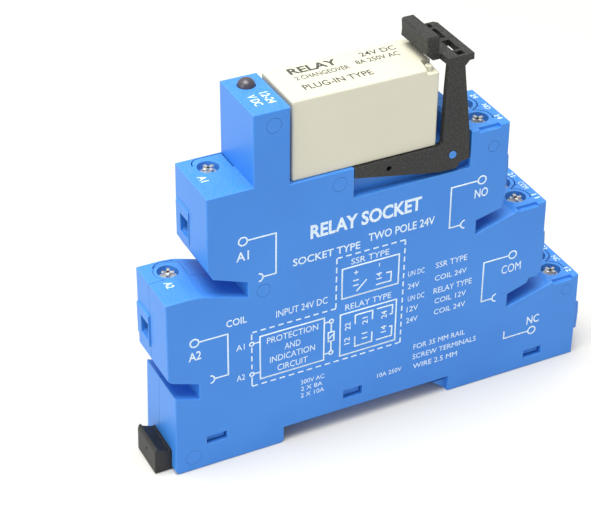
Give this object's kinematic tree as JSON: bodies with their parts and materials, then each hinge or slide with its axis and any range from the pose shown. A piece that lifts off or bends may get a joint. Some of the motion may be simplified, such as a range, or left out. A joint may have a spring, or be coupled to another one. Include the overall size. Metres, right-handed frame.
{
  "type": "plug in relay",
  "caption": "Slim rail-mounted relay socket in stepped tiers with screw terminals, a plug-in relay, a tilting release clip and a sprung rail latch.",
  "frame": {"origin": "middle of the flat seat that rests on the mounting rail, half way across the width", "axes": "+X across the rail towards the contact terminals, +Y along the rail away from the printed side, +Z out from the rail towards the relay"},
  "size_m": [0.0933, 0.014, 0.0795],
  "materials": {
    "housing_blue": "fine moulded satin",
    "relay_ivory": "smooth satin moulding",
    "relay_base_black": "moulded",
    "clip_charcoal": "fine grained",
    "latch_charcoal": "fine grained",
    "smoked_lens": "clear smoked gloss",
    "led_epoxy": "tinted epoxy",
    "screw_steel": "nickel plated",
    "cage_steel": "zinc plated",
    "strip_copper": "tinned copper alloy",
    "board_green": "solder mask",
    "component_black": "moulded epoxy",
    "diode_glass": "glossy",
    "resistor_body": "lacquered",
    "capacitor_body": "dipped lacquer",
    "spring_steel": "drawn wire",
    "pin_tinned": "tinned",
    "bobbin_plastic": "moulded",
    "winding_copper": "enamelled wire",
    "soft_iron": "plated soft iron",
    "contact_bronze": "spring bronze with silver faces",
    "card_plastic": "moulded"
  },
  "bodies": {
    "socket": {"front_shell": "housing_blue", "rear_shell": "housing_blue", "contact_strip_14": "strip_copper", "contact_strip_24": "strip_copper", "contact_strip_11": "strip_copper", "contact_strip_21": "strip_copper", "contact_strip_12": "strip_copper", "contact_strip_22": "strip_copper", "coil_strip_a1": "strip_copper", "coil_strip_a2": "strip_copper", "circuit_board": "board_green", "indicator_led": "led_epoxy", "indicator_lens": "smoked_lens", "bridge_rectifier": "component_black", "surge_diode": "diode_glass", "series_resistor": "resistor_body", "filter_capacitor": "capacitor_body", "latch_spring": "spring_steel"},
    "latch": {"rail_latch": "latch_charcoal"},
    "clip": {"release_clip": "clip_charcoal"},
    "relay": {"relay_cover": "relay_ivory", "relay_base": "relay_base_black", "coil_pins": "pin_tinned", "common_pins": "pin_tinned", "coil_bobbin": "bobbin_plastic", "coil_winding": "winding_copper", "iron_core": "soft_iron", "yoke": "soft_iron", "no_contact_1": "contact_bronze", "no_contact_2": "contact_bronze", "nc_contact_1": "contact_bronze", "nc_contact_2": "contact_bronze"},
    "armature": {"armature": "soft_iron"},
    "card": {"pusher_card": "card_plastic"},
    "leaf_1": {"moving_contact_1": "contact_bronze"},
    "leaf_2": {"moving_contact_2": "contact_bronze"},
    "screw_a1": {"terminal_screw_a1": "screw_steel"},
    "cage_a1": {"clamp_cage_a1": "cage_steel"},
    "screw_a2": {"terminal_screw_a2": "screw_steel"},
    "cage_a2": {"clamp_cage_a2": "cage_steel"},
    "screw_14": {"terminal_screw_14": "screw_steel"},
    "cage_14": {"clamp_cage_14": "cage_steel"},
    "screw_24": {"terminal_screw_24": "screw_steel"},
    "cage_24": {"clamp_cage_24": "cage_steel"},
    "screw_11": {"terminal_screw_11": "screw_steel"},
    "cage_11": {"clamp_cage_11": "cage_steel"},
    "screw_21": {"terminal_screw_21": "screw_steel"},
    "cage_21": {"clamp_cage_21": "cage_steel"},
    "screw_12": {"terminal_screw_12": "screw_steel"},
    "cage_12": {"clamp_cage_12": "cage_steel"},
    "screw_22": {"terminal_screw_22": "screw_steel"},
    "cage_22": {"clamp_cage_22": "cage_steel"}
  },
  "joints": [
    {"name": "latch_slide", "type": "slide", "parent": "socket", "child": "latch", "axis": [-1, 0, 0], "range_m": [0, 0.0025], "stiffness_N_per_m": 800, "springref_m": -0.001, "deforming": ["latch_spring"]},
    {"name": "clip_tilt", "type": "hinge", "parent": "socket", "child": "clip", "pos_m": [0.0161, 0, 0.052], "axis": [0, 1, 0], "range_deg": [0, 7]},
    {"name": "relay_lift", "type": "slide", "parent": "socket", "child": "relay", "axis": [0, 0, 1], "range_m": [0, 0.0025]},
    {"name": "armature_tilt", "type": "hinge", "parent": "relay", "child": "armature", "pos_m": [-0.0146, 0, 0.0577], "axis": [0, 1, 0], "range_deg": [0, 3.9], "stiffness_Nm_per_rad": 0.01, "springref_deg": -8.59},
    {"name": "card_slide", "type": "slide", "parent": "relay", "child": "card", "axis": [1, 0, 0], "range_m": [0, 0.00072]},
    {"name": "leaf_1_flex", "type": "hinge", "parent": "relay", "child": "leaf_1", "pos_m": [0.00547, -0.00375, 0.0578], "axis": [0, 1, 0], "range_deg": [0, 4.2]},
    {"name": "leaf_2_flex", "type": "hinge", "parent": "relay", "child": "leaf_2", "pos_m": [0.00547, 0.00375, 0.0578], "axis": [0, 1, 0], "range_deg": [0, 4.2]},
    {"name": "screw_a1_turn", "type": "hinge", "parent": "socket", "child": "screw_a1", "pos_m": [-0.0284, 0.0031, 0.0537], "axis": [0, 0, -1], "range_deg": [0, 1441]},
    {"name": "cage_a1_rise", "type": "slide", "parent": "socket", "child": "cage_a1", "axis": [0, 0, 1], "range_m": [0, 0.002]},
    {"name": "screw_a2_turn", "type": "hinge", "parent": "socket", "child": "screw_a2", "pos_m": [-0.0369, 0.0031, 0.0338], "axis": [0, 0, -1], "range_deg": [0, 1441]},
    {"name": "cage_a2_rise", "type": "slide", "parent": "socket", "child": "cage_a2", "axis": [0, 0, 1], "range_m": [0, 0.002]},
    {"name": "screw_14_turn", "type": "hinge", "parent": "socket", "child": "screw_14", "pos_m": [0.0236, -0.00285, 0.0539], "axis": [0, 0, -1], "range_deg": [0, 1441]},
    {"name": "cage_14_rise", "type": "slide", "parent": "socket", "child": "cage_14", "axis": [0, 0, 1], "range_m": [0, 0.002]},
    {"name": "screw_24_turn", "type": "hinge", "parent": "socket", "child": "screw_24", "pos_m": [0.0236, 0.00285, 0.0539], "axis": [0, 0, -1], "range_deg": [0, 1441]},
    {"name": "cage_24_rise", "type": "slide", "parent": "socket", "child": "cage_24", "axis": [0, 0, 1], "range_m": [0, 0.002]},
    {"name": "screw_11_turn", "type": "hinge", "parent": "socket", "child": "screw_11", "pos_m": [0.03355, -0.00285, 0.0339], "axis": [0, 0, -1], "range_deg": [0, 1441]},
    {"name": "cage_11_rise", "type": "slide", "parent": "socket", "child": "cage_11", "axis": [0, 0, 1], "range_m": [0, 0.002]},
    {"name": "screw_21_turn", "type": "hinge", "parent": "socket", "child": "screw_21", "pos_m": [0.03355, 0.00285, 0.0339], "axis": [0, 0, -1], "range_deg": [0, 1441]},
    {"name": "cage_21_rise", "type": "slide", "parent": "socket", "child": "cage_21", "axis": [0, 0, 1], "range_m": [0, 0.002]},
    {"name": "screw_12_turn", "type": "hinge", "parent": "socket", "child": "screw_12", "pos_m": [0.0435, -0.00285, 0.0139], "axis": [0, 0, -1], "range_deg": [0, 1441]},
    {"name": "cage_12_rise", "type": "slide", "parent": "socket", "child": "cage_12", "axis": [0, 0, 1], "range_m": [0, 0.002]},
    {"name": "screw_22_turn", "type": "hinge", "parent": "socket", "child": "screw_22", "pos_m": [0.0435, 0.00285, 0.0139], "axis": [0, 0, -1], "range_deg": [0, 1441]},
    {"name": "cage_22_rise", "type": "slide", "parent": "socket", "child": "cage_22", "axis": [0, 0, 1], "range_m": [0, 0.002]}
  ],
  "couplings": [
    {"joint": "clip_tilt", "follows": "relay_lift", "rad_per_m": 48.78},
    {"joint": "armature_tilt", "follows": "card_slide", "rad_per_m": 94.34},
    {"joint": "leaf_1_flex", "follows": "card_slide", "rad_per_m": 94.34},
    {"joint": "leaf_2_flex", "follows": "card_slide", "rad_per_m": 94.34},
    {"joint": "screw_a1_turn", "follows": "cage_a1_rise", "rad_per_m": 12566},
    {"joint": "screw_a2_turn", "follows": "cage_a2_rise", "rad_per_m": 12566},
    {"joint": "screw_14_turn", "follows": "cage_14_rise", "rad_per_m": 12566},
    {"joint": "screw_24_turn", "follows": "cage_24_rise", "rad_per_m": 12566},
    {"joint": "screw_11_turn", "follows": "cage_11_rise", "rad_per_m": 12566},
    {"joint": "screw_21_turn", "follows": "cage_21_rise", "rad_per_m": 12566},
    {"joint": "screw_12_turn", "follows": "cage_12_rise", "rad_per_m": 12566},
    {"joint": "screw_22_turn", "follows": "cage_22_rise", "rad_per_m": 12566}
  ]
}
